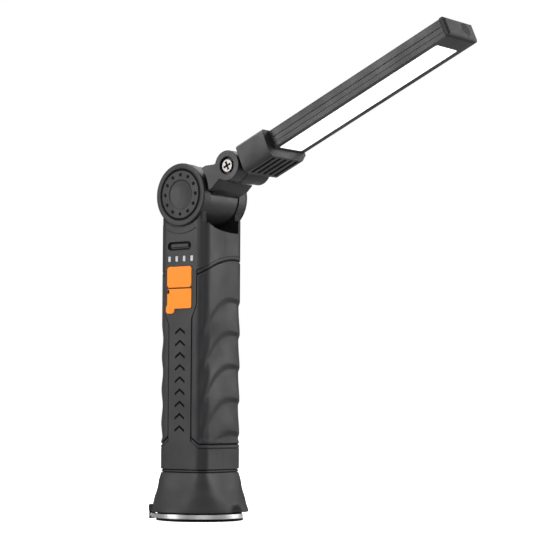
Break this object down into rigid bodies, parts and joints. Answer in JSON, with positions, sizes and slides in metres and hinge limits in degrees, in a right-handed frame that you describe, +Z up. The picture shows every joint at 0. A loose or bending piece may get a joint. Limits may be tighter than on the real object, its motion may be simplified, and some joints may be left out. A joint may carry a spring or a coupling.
{
  "type": "work light",
  "caption": "Rechargeable cordless work light: square battery handle on a flared magnetic base with fold-out hook, ratchet hinge and a slim folding bar lamp on a screw pivot.",
  "frame": {"origin": "centre of the base's underside, on the surface that the light stands on", "axes": "+Z up the handle, -Y is the switch side, both arm joints turn about Y, and the lamp leans towards +X"},
  "size_m": [0.1978, 0.054, 0.2555],
  "materials": {
    "shell_black": "satin",
    "head_grey": "satin",
    "grip_rubber": "soft-touch",
    "accent_orange": "matte",
    "bright_steel": "polished",
    "steel": "zinc-plated",
    "magnet": "nickel-plated",
    "foot_black": "matte",
    "cell_wrap": "gloss sleeve",
    "inner_plastic": "matte",
    "nickel": "nickel-plated",
    "board_green": "solder mask",
    "chip_black": "matte",
    "led_white": "gloss",
    "clear_lens": "clear",
    "diffuser": "frosted",
    "phosphor": "matte",
    "aluminium": "plain",
    "reflector": "bright"
  },
  "bodies": {
    "handle": {"front_shell": "shell_black", "rear_shell": "shell_black", "grip_right": "grip_rubber", "grip_left": "grip_rubber", "shell_screws": "steel", "base_skirt": "shell_black", "foot_plate": "foot_black", "foot_screws": "steel", "base_magnet": "magnet", "magnet_yoke": "steel", "hook_pin": "steel", "battery_cell": "cell_wrap", "battery_cradle": "inner_plastic", "contact_negative": "nickel", "contact_positive": "nickel", "main_board": "board_green", "board_parts": "chip_black", "mode_switch": "chip_black", "power_switch": "chip_black", "status_leds": "led_white", "indicator_lens": "diffuser", "usb_socket": "nickel", "hinge_cap_front": "shell_black", "hinge_cap_rear": "shell_black", "hinge_bolt": "steel", "hinge_nut": "steel", "ratchet_ring_fixed": "steel"},
    "arm_link": {"link_body": "head_grey", "ratchet_ring_link": "steel", "detent_spring": "steel", "pivot_screw": "bright_steel", "pivot_nut": "steel", "pivot_washer": "inner_plastic"},
    "lamp_head": {"lamp_collar": "head_grey", "lamp_housing": "head_grey", "lamp_bezel": "head_grey", "cob_board": "aluminium", "cob_phosphor": "phosphor", "cob_lens": "diffuser", "heat_spreader": "aluminium", "tip_cap": "head_grey", "torch_lens": "clear_lens", "torch_reflector": "reflector", "torch_led": "led_white", "lead_grommet": "foot_black"},
    "power_button_body": {"power_button": "accent_orange"},
    "mode_button_body": {"mode_button": "shell_black"},
    "usb_cover_body": {"usb_cover": "accent_orange"},
    "hook_body": {"hook": "bright_steel"}
  },
  "joints": [
    {"name": "arm_hinge", "type": "hinge", "parent": "handle", "child": "arm_link", "pos_m": [0, 0, 0.1768], "axis": [0, -1, 0], "range_deg": [-40, 180]},
    {"name": "lamp_pivot", "type": "hinge", "parent": "arm_link", "child": "lamp_head", "pos_m": [0.03247, 0, 0.19038], "axis": [0, -1, 0], "range_deg": [-72, 62]},
    {"name": "power_press", "type": "slide", "parent": "handle", "child": "power_button_body", "axis": [0, 1, 0], "range_m": [0, 0.0006], "stiffness_N_per_m": 1500, "springref_m": -0.0003},
    {"name": "mode_press", "type": "slide", "parent": "handle", "child": "mode_button_body", "axis": [0, 1, 0], "range_m": [0, 0.0006], "stiffness_N_per_m": 1500, "springref_m": -0.0003},
    {"name": "usb_flap", "type": "hinge", "parent": "handle", "child": "usb_cover_body", "pos_m": [0, -0.01815, 0.1254], "axis": [-1, 0, 0], "range_deg": [0, 100]},
    {"name": "hook_swing", "type": "hinge", "parent": "handle", "child": "hook_body", "pos_m": [-0.0202, -0.01589, 0.00275], "axis": [-0.6184, 0.7859, 0], "range_deg": [0, 90]}
  ]
}
